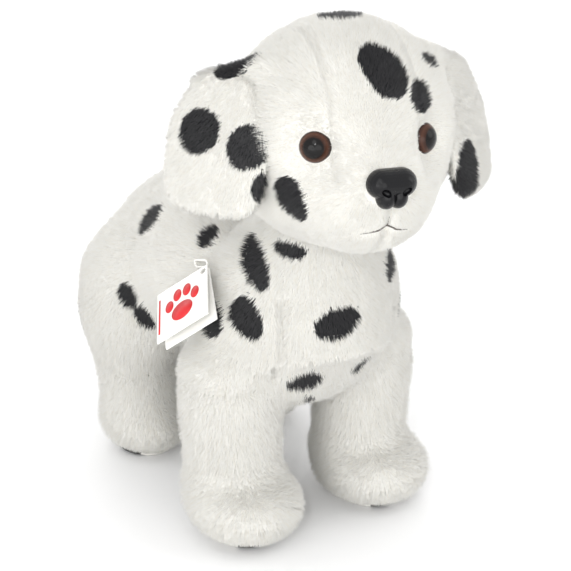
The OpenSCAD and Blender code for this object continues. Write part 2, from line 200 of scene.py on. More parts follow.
def torso_shape(p):
    """The body with its neck and legs, before the pile's depth is taken off."""
    folded = np.abs(p[:, :1])
    p = np.concatenate([folded, p[:, 1:]], 1)
    d = loft(p, CHEST_C + [0, 6, -2], CHEST_R - [3, 4, 8], MID_C, MID_R)
    d = join(d, egg(p, CHEST_C, CHEST_R), 3)
    d = join(d, loft(p, MID_C, MID_R, RUMP_C, RUMP_R), 3)
    d = join(d, egg(p, THIGH_C, THIGH_R), 12)
    room = egg(p, PIVOT * [1, 1, 0] + [0, 0, PIVOT[2] + HEAD_C[2]], np.array([83.0, 83, HEAD_R[2]]))
    d = cut(d, room, 16)
    d = join(d, leg_shape(p, HIND_LEG), 12)
    d = join(d, leg_shape(p, FRONT_LEG), 10)
    return join(d, neck_shape(p), 18)


def groove(distance, depth, width):
    """How far a seam draws the skin in, at a distance from its line."""
    return depth * np.exp(-((distance / width) ** 2))


def belly_line(p):
    """Height above the seam that closes the chest and belly panel."""
    a = math.radians(-12)
    q = p - [0, CHEST_C[1] - 30, MID_Z + 8]
    return q[:, 2] * math.cos(a) - q[:, 1] * math.sin(a)


def torso_pile(p):
    leg = 1 - ramp(p[:, 2], 60, 95)
    return (BODY_PILE + (LEG_PILE - BODY_PILE) * leg) * (0.6 + 0.4 * ramp(p[:, 2], 4, 16))


def torso_skin(p):
    d = torso_shape(p) + SKIN_DEPTH * torso_pile(p)
    below = belly_line(p)
    side = np.abs(np.abs(p[:, 0]) - BELLY_PANEL_W / 2)
    low = 1 - ramp(below, 0, 6)
    d = d + groove(side, 1.6, 2.2) * low * ramp(p[:, 2], 84, 92)
    leg_seam = groove(p[:, 2] - FRONT_SEAM_Z, 1.3, 4.5) * (1 - ramp(p[:, 1], 0, 8))
    return d + leg_seam * ramp(np.abs(p[:, 0]), 30, 40)


def front_zone(p, side):
    """Inside the part of space that a front leg's cover takes."""
    return np.maximum(np.maximum(p[:, 2] - FRONT_SEAM_Z, 9 - side * p[:, 0]), p[:, 1] - 4)


def hind_zone(p, side):
    return np.maximum(np.maximum(p[:, 2] - HIND_SEAM_Z, -side * p[:, 0]), 20 - p[:, 1])


def body_skin(p):
    d = np.maximum(torso_skin(p), SOLE_T - p[:, 2])
    for side in (1, -1):
        d = np.maximum(d, -np.minimum(front_zone(p, side), hind_zone(p, side)))
    return d


def leg_skin(side, zone):
    return lambda p: np.maximum(np.maximum(torso_skin(p), zone(p, side) - 1.5), SOLE_T - p[:, 2])


def sole_skin(side, zone):
    def shape(p):
        slab = np.abs(p[:, 2] - SOLE_T / 2 - 0.3) - SOLE_T / 2 + 0.5
        return np.maximum(np.maximum(torso_skin(p * [1, 1, 0] + [0, 0, 6]) + 1, slab), zone(p, side)) - 0.2
    return shape


MIRROR_Y = np.diag([1.0, -1.0, 1.0])
# The way the root of the left ear runs, in the head's frame
ROOT_WAY = turned(z=EAR_TURN) @ MIRROR_Y @ turned(x=EAR_TILT) @ turned(y=EAR_SLOPE) @ [1.0, 0, 0]


def eye_axis(side):
    turn, rise = math.radians(EYE_TURN), math.radians(EYE_RISE)
    level = math.cos(rise)
    return np.array([side * math.sin(turn) * level, -math.cos(turn) * level, math.sin(rise)])


def head_shape(p):
    """The head in its own frame, with the hollows that the eyes sit in."""
    p = np.concatenate([np.abs(p[:, :1]), p[:, 1:]], 1)
    muzzle = loft(p, MUZZLE_C, MUZZLE_R, MUZZLE_C + [0, 26, 8], MUZZLE_R + [6, 0, 4], 2)
    d = join(egg(p, HEAD_C, HEAD_R), muzzle, 10)
    d = join(d, egg(p, np.array([0.0, -2, 37]), np.array([34.0, 35, 24])), 14)
    d = join(d, cone(p, EAR_ROOT_C - ROOT_WAY * 15, EAR_ROOT_C + ROOT_WAY * 13, 5.0, 5.0), 12)
    socket = length(p - EYE_C - eye_axis(1) * (SOCKET_R - 1)) - SOCKET_R
    return cut(d, socket, 6)


def head_pile(p):
    near = length((p - NOSE_C) * [1, 0.9, 0.9])
    pile = FACE_PILE + (HEAD_PILE - FACE_PILE) * ramp(near, 22, 75)
    for side in (1, -1):
        eye = length(p - mirrored(EYE_C, side))
        pile = pile * (0.6 + 0.4 * ramp(eye, 8, 20))
    return pile


def head_skin(p):
    d = head_shape(p) + SKIN_DEPTH * head_pile(p)
    seam = groove(np.abs(np.abs(p[:, 0]) - GUSSET_W / 2), 1.1, 1.8)
    d = d + seam * ramp(p[:, 2], MUZZLE_C[2] + 2, MUZZLE_C[2] + 12)
    chin = groove(np.abs(p[:, 0]), 1.4, 2.0) * (1 - ramp(p[:, 2], NOSE_C[2] - 8, NOSE_C[2]))
    return d + chin * (1 - ramp(p[:, 1], -40, -20))


def ear_half(s):
    """Half the width of an ear at share s of its length."""
    full = EAR_FULL_TOP if s < 0.5 else EAR_FULL_TIP
    return EAR_W / 2 * (1 - abs((s - 0.5) / 0.52) ** full) ** (1 / full)


def ear_skin(p):
    """An ear in its own frame: X across it, Y out of its face, Z up."""
    inset = SKIN_DEPTH * EAR_PILE + 0.4
    slope = math.radians(EAR_SLOPE)
    along = np.array([math.cos(slope), 0, -math.sin(slope)]) * EAR_ROOT_HALF
    d = cone(p, -along, along, EAR_ROOT_R - 1, EAR_ROOT_R - 1)
    steps = 14
    for i in range(1, steps + 1):
        s = i / steps * (1 - EAR_END)
        middle = [0, 2 + 1.2 * math.sin(4 * s), -EAR_L * s]
        size = np.array([ear_half(s) - inset, 6.5 - inset, EAR_L * EAR_END - inset])
        d = join(d, egg(p, middle, size), 3)
    return d


def tail_skin(p):
    steps = 12
    d = length(p - TAIL_C) - TAIL_R + TAIL_INSET
    for i in range(1, steps + 1):
        s = i / steps
        middle = TAIL_C + [0, TAIL_BOW * math.sin(math.radians(150 * s)), -TAIL_L * s]
        d = join(d, length(p - middle) - (TAIL_R - TAIL_TAPER * s * s) + TAIL_INSET, 2)
    return d


# ---- Frames of the turned pieces ----

class Place:
    """A rotation and a shift from a piece's own frame to the part's."""

    def __init__(self, turn=np.eye(3), shift=np.zeros(3)):
        self.turn, self.shift = turn, shift

    def out(self, p):
        return p @ self.turn.T + self.shift

    def back(self, p):
        return (p - self.shift) @ self.turn

    def after(self, other):
        return Place(other.turn @ self.turn, other.out(self.shift))


HERE = Place()
HEAD = Place(turned(0, HEAD_TIP, HEAD_TURN), PIVOT)


def ear_place(side):
    turn = np.diag([side, 1.0, 1.0]) @ turned(z=EAR_TURN) @ MIRROR_Y @ turned(x=EAR_TILT)
    return Place(turn, mirrored(EAR_ROOT_C, side)).after(HEAD)


# ---- Skins ----

def gradient(shape, p, h=0.05):
    return np.stack([(shape(p + h * e) - shape(p - h * e)) / (2 * h) for e in np.eye(3)], 1)


def surface(shape, low, high, step):
    """A closed quad mesh where shape is zero: one point in each cell that the surface crosses."""
    low, high = np.asarray(low, float), np.asarray(high, float)
    n = np.ceil((high - low) / step).astype(int) + 1
    grid = np.stack(np.meshgrid(*[low[i] + step * np.arange(n[i]) for i in range(3)], indexing="ij"), -1)
    d = shape(grid.reshape(-1, 3)).reshape(n)
    inside = d < 0
    cells = n - 1
    total, count = np.zeros((*cells, 3)), np.zeros(cells)
    crossings = []
    for a in range(3):
        b, c = (a + 1) % 3, (a + 2) % 3
        first, second = [slice(None)] * 3, [slice(None)] * 3
        first[a], second[a] = slice(0, -1), slice(1, None)
        d0, d1 = d[tuple(first)], d[tuple(second)]
        crossed = (d0 < 0) != (d1 < 0)
        share = np.where(crossed, d0 / np.where(crossed, d0 - d1, 1), 0)
        crossings.append(crossed)
        for ob in (0, 1):
            for oc in (0, 1):
                part = [slice(None)] * 3
                part[b], part[c] = slice(ob, ob + cells[b]), slice(oc, oc + cells[c])
                hit = crossed[tuple(part)]
                count += hit
                total[..., a] += share[tuple(part)]
                total[..., b] += hit * ob
                total[..., c] += hit * oc
    used = count > 0
    number = np.full(cells, -1)
    number[used] = np.arange(used.sum())
    at = np.argwhere(used)
    points = low + step * (at + total[used] / count[used][:, None])
    quads = []
    for a in range(3):
        b, c = (a + 1) % 3, (a + 2) % 3
        at = np.argwhere(crossings[a])
        at = at[(at[:, b] > 0) & (at[:, c] > 0) & (at[:, b] < cells[b]) & (at[:, c] < cells[c])]
        corners = []
        for ob, oc in ((1, 1), (0, 1), (0, 0), (1, 0)):
            q = at.copy()
            q[:, b] -= ob
            q[:, c] -= oc
            corners.append(number[q[:, 0], q[:, 1], q[:, 2]])
        quad = np.stack(corners, 1)
        flip = ~inside[at[:, 0], at[:, 1], at[:, 2]]
        quad[flip] = quad[flip][:, ::-1]
        quads.append(quad)
    for _ in range(2):
        g = gradient(shape, points)
        move = shape(points)[:, None] * g / np.maximum((g * g).sum(1), 0.3)[:, None]
        points = points - np.clip(move, -step / 2, step / 2)
    return points, np.concatenate(quads), unit(gradient(shape, points))


def mesh_object(name, points, faces, materials, index=None, normals=None):
    """A smooth mesh object from points in millimetres."""
    mesh = bpy.data.meshes.new(name)
    sides = faces.shape[1]
    mesh.vertices.add(len(points))
    mesh.vertices.foreach_set("co", (points * MM).astype(np.float32).ravel())
    mesh.loops.add(faces.size)
    mesh.loops.foreach_set("vertex_index", faces.astype(np.int32).ravel())
    mesh.polygons.add(len(faces))
    mesh.polygons.foreach_set("loop_start", np.arange(0, faces.size, sides, dtype=np.int32))
    for material in materials:
        mesh.materials.append(material)
    if index is not None:
        mesh.polygons.foreach_set("material_index", index.astype(np.int32))
    mesh.polygons.foreach_set("use_smooth", np.ones(len(faces), bool))
    mesh.update(calc_edges=True)
    if normals is not None:
        mesh.normals_split_custom_set_from_vertices(normals.astype(np.float32))
    piece = bpy.data.objects.new(name, mesh)
    bpy.context.collection.objects.link(piece)
    return piece


# ---- Spots: middle, half of the long axis, half of the width ----

HEAD_SPOTS = [
    ((1, -61, 258), (12, 0, 0), 10), ((-2, -98, 241), (4, -8, -12), 10),
    ((13, -104, 228), (1, -3, -8), 6.5), ((27, -90, 239), (6, 3, -4), 4.5),
    ((-39, -88, 189), (5, -3, -9), 7.5), ((-46, -55, 243), (11, -4, 7), 7.5),
    ((22, -26, 218), (8, 0, 6), 9), ((-24, -24, 204), (4, 0, 9), 8), ((8, -16, 184), (8, 0, 2), 7),
    ((46, -52, 186), (0, 4, 8), 7), ((-14, -36, 246), (6, 4, 2), 8),
]
EAR_SPOTS = [
    ((-46, -55, 243), (11, -4, 7), 7.5), ((-66, -54, 214), (5, -4, 8), 9.5),
    ((-54, -73, 210), (2, -3, 9), 9), ((-51, -80, 194), (0, -2, 7), 4),
    ((48, -97, 189), (1, -3, -14), 10), ((66, -60, 212), (2, 4, 8), 8),
]
TORSO_SPOTS = [
    ((-44, 41, 141), (4, -4, 9), 9), ((-37, -10, 147), (3, 0, 8), 5.5),
    ((-33, -45, 146), (-1, -9, -11), 6.5), ((-25, -62, 154), (5, -10, -1), 4.5),
    ((-53, 47, 100), (2, -3, -6), 6.5), ((-48, 40, 89), (3, -3, -7), 5.5),
    ((-51, -32, 116), (0, -2, 10), 9), ((-43, -51, 121), (3, -5, -11), 8.5),
    ((-8, -76, 120), (12, -3, 3), 7.5), ((-17, -62, 85), (11, -4, 3), 7.5),
    ((15, -63, 88), (9, -1, 5), 4.5), ((30, -58, 137), (10, 8, 3), 8), ((-14, -50, 71), (10, 0, 0), 6),
    ((-57, 93, 74), (0, 4, 9), 6.5), ((50, 30, 128), (0, 6, 8), 9), ((53, 62, 108), (0, -3, 10), 8.5),
    ((50, -12, 122), (0, 5, 7), 8), ((46, 98, 92), (-3, 4, 9), 8), ((12, 58, 152), (10, 4, 0), 9),
    ((-14, 92, 146), (8, 4, 0), 8), ((22, 104, 112), (7, 0, 8), 8), ((-26, 107, 104), (4, 0, 10), 9),
    ((46, -52, 108), (0, 3, 9), 8), ((10, 14, 162), (5, 9, 0), 8), ((-8, 30, 74), (6, 9, 0), 9),
    ((20, -2, 76), (4, 7, 0), 8),
]
TAIL_SPOTS = [
    ((0, 116, 86), (0, 0, 10), 9),
]
# Dark patches on the soles, which show along the bottom edges of the paws
SOLE_DARK_PATCHES = [
    ((-40, -52, 0), (9, 6, 0), 7), ((-30, -22, 0), (6, 6, 0), 7), ((45, -30, 0), (6, 8, 0), 8),
    ((-44, 66, 0), (5, 9, 0), 7), ((32, 84, 0), (7, 5, 0), 7), ((32, -56, 0), (6, 4, 0), 6),
]


def noise(p, size, seed):
    """Smooth noise from -1 to 1 that changes over the given size."""
    table = np.random.default_rng(seed).uniform(-1, 1, 4096)
    q = p / size
    cell = np.floor(q).astype(np.int64)
    f = q - cell
    f = f * f * (3 - 2 * f)
    value = 0
    for corner in range(8):
        o = np.array([corner & 1, corner >> 1 & 1, corner >> 2 & 1])
        i = cell + o
        key = (i[:, 0] * 73856093 ^ i[:, 1] * 19349663 ^ i[:, 2] * 83492791) & 4095
        value = value + table[key] * np.where(o, f, 1 - f).prod(1)
    return value


def in_spot(p, spots):
    """Whether points lie in a dark spot; the edges are slightly ragged."""
    dark = np.zeros(len(p), bool)
    edge = 1 + 0.16 * noise(p, 7.0, 11) + 0.05 * noise(p, 1.6, 12)
    for middle, along, half_width in spots:
        along = np.array(along, float)
        half_length = np.sqrt(along @ along)
        q = p - np.array(middle, float)
        t = q @ (along / half_length)
        across = length(q - t[:, None] * (along / half_length))
        dark |= (t / half_length) ** 2 + (across / half_width) ** 2 < edge
    return dark


# ---- Materials ----

def material(name, colour, roughness, grain, **values):
    """A surface of one colour whose gloss varies in fine grains of the given size in metres."""
    m = bpy.data.materials.new(name)
    m.use_nodes = True
    nodes, links = m.node_tree.nodes, m.node_tree.links
    shader = nodes["Principled BSDF"]
    shader.inputs["Base Color"].default_value = (*colour, 1)
    for key, value in values.items():
        shader.inputs[key.replace("_", " ")].default_value = value
    texture, place = nodes.new("ShaderNodeTexNoise"), nodes.new("ShaderNodeTexCoord")
    texture.inputs["Scale"].default_value = 1 / grain
    links.new(place.outputs["Object"], texture.inputs["Vector"])
    spread = nodes.new("ShaderNodeMapRange")
    spread.inputs["To Min"].default_value = max(roughness - 0.08, 0.02)
    spread.inputs["To Max"].default_value = min(roughness + 0.08, 1)
    links.new(texture.outputs["Fac"], spread.inputs["Value"])
    links.new(spread.outputs["Result"], shader.inputs["Roughness"])
    return m


def with_bump(m, grain, height):
    nodes, links = m.node_tree.nodes, m.node_tree.links
    texture, place = nodes.new("ShaderNodeTexNoise"), nodes.new("ShaderNodeTexCoord")
    bump = nodes.new("ShaderNodeBump")
    texture.inputs["Scale"].default_value = 1 / grain
    bump.inputs["Distance"].default_value = height
    bump.inputs["Strength"].default_value = 0.5
    links.new(place.outputs["Object"], texture.inputs["Vector"])
    links.new(texture.outputs["Fac"], bump.inputs["Height"])
    links.new(bump.outputs["Normal"], nodes["Principled BSDF"].inputs["Normal"])
    return m


WHITE, CREAM = (0.955, 0.945, 0.895), (0.92, 0.895, 0.82)
DARK, SOOT = (0.008, 0.008, 0.010), (0.020, 0.019, 0.022)
pile_white = material("pile_white", WHITE, 0.75, 0.004, Sheen_Weight=0.15)
pile_cream = material("pile_cream", CREAM, 0.75, 0.004, Sheen_Weight=0.15)
pile_black = material("pile_black", DARK, 0.42, 0.003, Sheen_Weight=0.08)
pile_soot = material("pile_soot", SOOT, 0.42, 0.003, Sheen_Weight=0.12)
PILE = [pile_white, pile_cream, pile_black, pile_soot]
# The backing's white is painted darker than the pile's, as painted shade: it stands for the shade that falls
# deep under the strands
skin_white_painted_shade = with_bump(material("backing_white_painted_shade", (0.80, 0.785, 0.74), 0.9, 0.002), 0.001, 0.0004)
skin_black = with_bump(material("backing_black", DARK, 0.9, 0.002), 0.001, 0.0004)


def skin_object(name, shape, low, high, step, place, spots):
    """The skin of one stuffed piece, with its spots as a second material, and what its pile grows from."""
    points, quads, normals = surface(shape, low, high, step)
    points_out, normals_out = place.out(points), normals @ place.turn.T
    if np.linalg.det(place.turn) < 0:
        quads = quads[:, ::-1]
    dark = in_spot(points_out[quads].mean(1), spots)
    piece = mesh_object(name, points_out, quads, [skin_white_painted_shade, skin_black], dark)
    return piece, (points_out, quads, normals_out)


# ---- Pile ----

def clumping(p, size, seed, h=0.4):
    """A slope that pulls neighbouring strands together into small locks."""
    rise = [noise(p + h * e, size, seed) - noise(p - h * e, size, seed) for e in np.eye(3)]
    return np.stack(rise, 1) / (2 * h)


def grow(names, skin, seed, density, pile, nap, lean, spots, keep, width=STRAND_R, group=None):
    """Pile on a skin: strands that lean along nap. It is split into the named pieces by each root's group."""
    rng = np.random.default_rng(seed)
    points, quads, normals = skin
    triangles = np.concatenate([quads[:, [0, 1, 2]], quads[:, [0, 2, 3]]])
    a, b, c = (points[triangles[:, i]] for i in range(3))
    area = length(np.cross(b - a, c - a)) / 2
    count = int(area.sum() * density)
    pick = np.searchsorted(np.cumsum(area) / area.sum(), rng.random(count)).clip(0, len(area) - 1)
    u, v = rng.random(count), rng.random(count)
    over = u + v > 1
    u[over], v[over] = 1 - u[over], 1 - v[over]
    w = np.stack([1 - u - v, u, v], 1)[..., None]
    root = (points[triangles[pick]] * w).sum(1)
    normal = unit((normals[triangles[pick]] * w).sum(1))
    kept = keep(root)
    root, normal = root[kept], normal[kept]
    n = len(root)
    flat = nap(root, normal)
    flat = flat - (flat * normal).sum(1)[:, None] * normal
    flat = flat / np.maximum(length(flat), 0.35)[:, None]
    angle = np.radians(lean) * (1 + 0.25 * noise(root, 9.0, seed + 1) + 0.12 * rng.standard_normal(n))
    way = normal * np.cos(angle)[:, None] + flat * np.sin(angle)[:, None]
    way = way + 0.22 * clumping(root, 2.2, seed + 2) + 0.4 * clumping(root, 9.0, seed + 3)
    way = unit(way + 0.11 * rng.standard_normal((n, 3)))
    tall = pile(root) * (0.85 + 0.12 * noise(root, 6.0, seed + 4)) * rng.uniform(0.7, 1.1, n)
    tip = root + way * tall[:, None]
    tip[:, 2] = np.maximum(tip[:, 2], 0.3)
    root = root - normal * 0.3
    across = unit(np.cross(way, rng.standard_normal((n, 3))))
    other = np.cross(way, across)
    corners = []
    for k in range(3):
        turn = 2 * math.pi * k / 3
        corners.append(root + width * (across * math.cos(turn) + other * math.sin(turn)))
    strand_points = np.stack([*corners, tip], 1)
    soft = unit(normal + 0.12 * way + 0.05 * rng.standard_normal((n, 3)))
    top = unit(normal + 0.3 * way)
    strand_normals = np.stack([soft, soft, soft, top], 1)
    dark = in_spot(root, spots)
    tint = (rng.random(n) < 0.3).astype(int) + 2 * dark
    which = np.zeros(n, int) if group is None else group(root)
    made = []
    order = np.array([[0, 1, 3], [1, 2, 3], [2, 0, 3], [0, 2, 1]])
    for number, piece_name in enumerate(names):
        mine = which == number
        m = mine.sum()
        faces = (4 * np.arange(m)[:, None, None] + order).reshape(-1, 3)
        made.append(mesh_object(
            piece_name, strand_points[mine].reshape(-1, 3), faces, PILE,
            np.repeat(tint[mine], 4), strand_normals[mine].reshape(-1, 3)))
    return made


def slotted(pieces):
    return pieces


def torso_nap(p, n):
    back = ramp(p[:, 2], 85, 130) * ramp(p[:, 1], -60, -20)
    way = np.stack([0 * back, 0.9 * back, -0.3 - 0.7 * (1 - back)], 1)
    paw = 1 - ramp(p[:, 2], 8, 40)
    outward = n * [1, 1, 0]
    return way + 0.3 * paw[:, None] * outward


def on_torso(p):
    """Where the body's skin shows: not under the head, the soles or another cover."""
    return (np.abs(torso_skin(p)) < 0.8) & (head_skin(HEAD.back(p)) > -3) & (p[:, 2] > SOLE_T + 0.2)


body, body_map = skin_object(
    "body_cover", body_skin, (-62, -78, 36), (62, 114, 180), TORSO_STEP, HERE, TORSO_SPOTS)
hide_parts("body_panel_left", "body_panel_right", "belly_panel", "body_stuffing")
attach(body, "torso")


def body_group(p):
    belly = (np.abs(p[:, 0]) < BELLY_PANEL_W / 2) & (belly_line(p) < 0)
    rear = p[:, 1] > BODY_Y
    return np.where(belly, 4, np.where(p[:, 0] > 0, 0, 1)) + np.where(belly, 0, 2 * rear)


body_names = ["body_pile_left", "body_pile_right", "rump_pile_left", "rump_pile_right", "belly_pile"]
for piece in slotted(grow(body_names, body_map, 21, BODY_STRANDS, torso_pile, torso_nap, BODY_LEAN, TORSO_SPOTS,
                          on_torso, group=body_group)):
    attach(piece, "torso")

for number, (leg, zone, low, high) in enumerate((
        ("front_leg", front_zone, (6, -80, 0), (70, 8, 83)),
        ("hind_leg", hind_zone, (4, 24, 0), (66, 106, 50)))):
    for side, word in SIDES:
        x_low, x_high = sorted((side * low[0], side * high[0]))
        box_low, box_high = (x_low, *low[1:]), (x_high, *high[1:])
        cover, cover_map = skin_object(
            f"{leg}_cover_{word}_skin", leg_skin(side, zone), box_low, box_high, TORSO_STEP, HERE, [])
        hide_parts(f"{leg}_cover_{word}", f"{leg}_stuffing_{word}")
        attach(cover, "torso")
        seed = 40 + 10 * number + side
        spots = TORSO_SPOTS if leg == "hind_leg" else []
        for piece in slotted(grow([f"{leg}_pile_{word}"], cover_map, seed, LEG_STRANDS, torso_pile, torso_nap,
                                  LEG_LEAN, spots, on_torso)):
            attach(piece, "torso")
        sole, _ = skin_object(
            f"{leg}_sole_{word}", sole_skin(side, zone), box_low, (*box_high[:2], 5), SMALL_STEP, HERE,
            SOLE_DARK_PATCHES)
        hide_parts(f"{leg.split('_')[0]}_sole_{word}")
        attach(sole, "torso")


# ---- Head ----

head, head_map = skin_object(
    "head_cover", head_skin, (-56, -76, 2), (56, 33, 112), HEAD_STEP, HEAD, HEAD_SPOTS)
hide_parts("head_panel_left", "head_panel_right", "head_gusset", "head_stuffing")
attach(head, "head")


def on_muzzle(angle, height):
    ring = math.sqrt(1 - (height / MUZZLE_R[2]) ** 2)
    a = math.radians(angle)
    return MUZZLE_C + [MUZZLE_R[0] * ring * math.sin(a), -MUZZLE_R[1] * ring * math.cos(a), height]


def on_skin(path, above):
    """Path points moved on to the head's skin, and then a little above it."""
    for _ in range(3):
        slope = gradient(head_skin, path)
        path = path - head_skin(path)[:, None] * slope / (slope * slope).sum(1)[:, None]
    return path + above * unit(gradient(head_skin, path))


mouth = on_skin(np.array([on_muzzle(MOUTH_SPAN * t, MOUTH_RISE - MOUTH_FALL * abs(t) ** 0.7)
                          for t in np.linspace(-1, 1, 2 * MOUTH_STEPS + 1)]), 0.4)


def mouth_distance(q):
    far = np.full(len(q), 99.0)
    near = length(q - MUZZLE_C) < 45
    for m in mouth[::2]:
        far[near] = np.minimum(far[near], length(q[near] - m))
    return far


def on_head(p):
    """Where the head's skin shows: not under the neck, the eyes or the nose, nor on the mouth's line."""
    q = HEAD.back(p)
    kept = (neck_shape(p) > -3) & (np.abs(head_skin(q)) < 0.8)
    for side in (1, -1):
        axis = eye_axis(side)
        r = q - mirrored(EYE_C, side)
        out = r @ axis
        kept &= ~((length(r - out[:, None] * axis) < EYE_D / 2 - 0.2) & (out > -12) & (out < 8))
    r = q - NOSE_C
    behind_nose = (r[:, 0] / (NOSE_W / 2 - 0.5)) ** 2 + (r[:, 2] / (NOSE_H / 2 - 0.5)) ** 2 < 1
    kept &= ~(behind_nose & (r[:, 1] < 10))
    return kept & (mouth_distance(q) > 0.5)


def head_length(p):
    q = HEAD.back(p)
    return head_pile(q) * (0.45 + 0.55 * ramp(mouth_distance(q), 1, 5))


def head_nap(p, n):
    """The pile runs back and down from the nose, and away from the eyes."""
    q = HEAD.back(p)
    way = q - (NOSE_C + [0, 0, 4])
    way = unit(way) + [0, 0, -0.35]
    for side in (1, -1):
        r = q - mirrored(EYE_C, side)
        way = way + (1.6 * (1 - ramp(length(r), 7, 15)))[:, None] * unit(r)
    return way @ HEAD.turn.T


def head_group(p):
    q = HEAD.back(p)
    top = (np.abs(q[:, 0]) < GUSSET_W / 2) & (q[:, 2] > MUZZLE_C[2] + 4)
    nape = (q[:, 1] > HEAD_C[1]) & ~top
    return np.where(top, 4, np.where(q[:, 0] > 0, 0, 1)) + 2 * nape


head_names = ["face_pile_left", "face_pile_right", "nape_pile_left", "nape_pile_right", "head_gusset_pile"]
for piece in slotted(grow(head_names, head_map, 71, HEAD_STRANDS, head_length, head_nap, HEAD_LEAN, HEAD_SPOTS,
                          on_head, width=HEAD_STRAND_R, group=head_group)):
    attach(piece, "head")


def tube(path, radius, around=8):
    """A round thread along a path on the head's skin, in the head's frame: its points and faces."""
    rings = len(path)
    along = unit(np.gradient(path, axis=0))
    level = unit(np.cross(along, unit(gradient(head_skin, path))))
    upright = np.cross(level, along)
    turns = [2 * math.pi * k / around for k in range(around)]
    points = np.concatenate([path + radius * (math.cos(t) * level + math.sin(t) * upright) for t in turns])
    faces = np.array([
        [k * rings + i, k * rings + i + 1, (k + 1) % around * rings + i + 1, (k + 1) % around * rings + i]
        for k in range(around) for i in range(rings - 1)])
    return points, faces


thread = material("mouth_thread", (0.10, 0.085, 0.075), 0.7, 0.001)
lip = np.array([on_muzzle(0, MOUTH_RISE + t) for t in np.linspace(0, LIP_L, 10)])
thinning = (MOUTH_R - MOUTH_THINNING * np.linspace(-1, 1, len(mouth)) ** 2)[:, None]
for name, path, radius in (("mouth_line", mouth, thinning), ("mouth_lip_line", on_skin(lip, 0.9), LIP_R)):
    points, faces = tube(path, radius)
    piece = mesh_object(name, HEAD.out(points), faces, [thread])
    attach(piece, "head")
    if name == "mouth_line":
        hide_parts("mouth_thread")

# ---- Ears ----

for side, word in SIDES:
    place = ear_place(side)
    ear, ear_map = skin_object(
        f"ear_{word}_cover", ear_skin, (-30, -10, -66), (30, 12, 12), SMALL_STEP, place, EAR_SPOTS)
    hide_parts(f"ear_front_{word}", f"ear_back_{word}")

    def ear_nap(p, n, place=place):
        q = place.back(p)
        middle = q - [0, 2, -EAR_L * 0.35]
        way = np.stack([0.012 * middle[:, 0], 0.9 * ramp(q[:, 2], -12, 2), -1 + 0 * middle[:, 0]], 1)
        return way @ place.turn.T

    ear_pile = slotted(grow(
        [f"ear_{word}_pile"], ear_map, 90 + side, EAR_STRANDS, lambda p: np.full(len(p), EAR_PILE), ear_nap,
        EAR_LEAN, EAR_SPOTS, lambda p: head_skin(HEAD.back(p)) > -2.5, width=EAR_STRAND_R))
    for piece in (ear, *ear_pile):
        start, end = place.out(np.array([[0, 0, 4.0], [0, 0, -12.0]])) * MM
        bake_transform(piece)

# ---- Tail ----

tail, tail_map = skin_object(
    "tail_cover_skin", tail_skin, (-12, 92, 66), (12, 130, 132), SMALL_STEP, HERE, TAIL_SPOTS)
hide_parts("tail_cover", "tail_stuffing")
tail_pile = slotted(grow(
    ["tail_pile"], tail_map, 111, TAIL_STRANDS, lambda p: np.full(len(p), TAIL_PILE),
    lambda p, n: np.tile([0, 0.1, -1.0], (len(p), 1)), TAIL_LEAN, TAIL_SPOTS,
    lambda p: torso_skin(p) > -3))
for piece in (tail, *tail_pile):
    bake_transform(piece)

# ---- Eyes and nose ----

def eye_material(side, word):
    """Black pupil, brown ring and dark rim under a clear coat, by the distance from the eye's axis."""
    m = material(f"eye_gloss_{word}", (0.01, 0.01, 0.01), 0.25, 0.004,
                 Coat_Weight=0.35, Coat_Roughness=0.02, Specular_IOR_Level=0.1)
    nodes, links = m.node_tree.nodes, m.node_tree.links
    middle = HEAD.out(mirrored(EYE_C, side)) * MM
    axis = HEAD.turn @ eye_axis(side)
    place = nodes.new("ShaderNodeTexCoord")
    shift, cross, size = (nodes.new("ShaderNodeVectorMath") for _ in range(3))
    shift.operation, cross.operation, size.operation = "SUBTRACT", "CROSS_PRODUCT", "LENGTH"
    share = nodes.new("ShaderNodeMath")
    share.operation = "DIVIDE"
    shift.inputs[1].default_value = middle
    cross.inputs[1].default_value = axis
    share.inputs[1].default_value = EYE_D / 2 * MM
    colours = nodes.new("ShaderNodeValToRGB")
    stops = ((0.0, (0.002, 0.002, 0.002)), (0.60, (0.003, 0.002, 0.002)), (0.66, (0.03, 0.011, 0.006)),
             (0.82, (0.075, 0.028, 0.016)), (0.92, (0.035, 0.013, 0.009)), (1.0, (0.006, 0.004, 0.004)))
    elements = colours.color_ramp.elements
    while len(elements) < len(stops):
        elements.new(0.5)
    for element, (position, colour) in zip(elements, stops):
        element.position, element.color = position, (*colour, 1)
    links.new(place.outputs["Object"], shift.inputs[0])
    links.new(shift.outputs["Vector"], cross.inputs[0])
    links.new(cross.outputs["Vector"], size.inputs[0])
    links.new(size.outputs["Value"], share.inputs[0])
    links.new(share.outputs["Value"], colours.inputs["Fac"])
    links.new(colours.outputs["Color"], nodes["Principled BSDF"].inputs["Base Color"])
    return m


def paint(node, m):
    """Give a carried-over CAD node its material."""
    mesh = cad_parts[node].data
    if not mesh.materials:
        mesh.materials.append(m)
    for i in range(len(mesh.materials)):
        mesh.materials[i] = m


WASHER_COLOUR = (0.75, 0.75, 0.72)
for side, word in SIDES:
    paint(f"eye_{word}", eye_material(side, word))
    paint(f"eye_washer_{word}", material(f"washer_{word}", WASHER_COLOUR, 0.4, 0.003))
paint("nose_washer", material("washer_nose", WASHER_COLOUR, 0.4, 0.003))
nose_gloss = material("nose_gloss", (0.004, 0.004, 0.005), 0.30, 0.002,
                      Coat_Weight=0.25, Coat_Roughness=0.1, Specular_IOR_Level=0.15)
paint("nose", with_bump(nose_gloss, 0.0012, 0.0001))

# ---- Tag ----

card = with_bump(material("tag_card", (0.86, 0.85, 0.82), 0.5, 0.002, Coat_Weight=0.1), 0.0008, 0.00002)
paint("tag_front_leaf", card)
paint("tag_back_leaf", card)
paint("tag_loop", material("tag_loop", (0.85, 0.84, 0.80), 0.6, 0.0006))

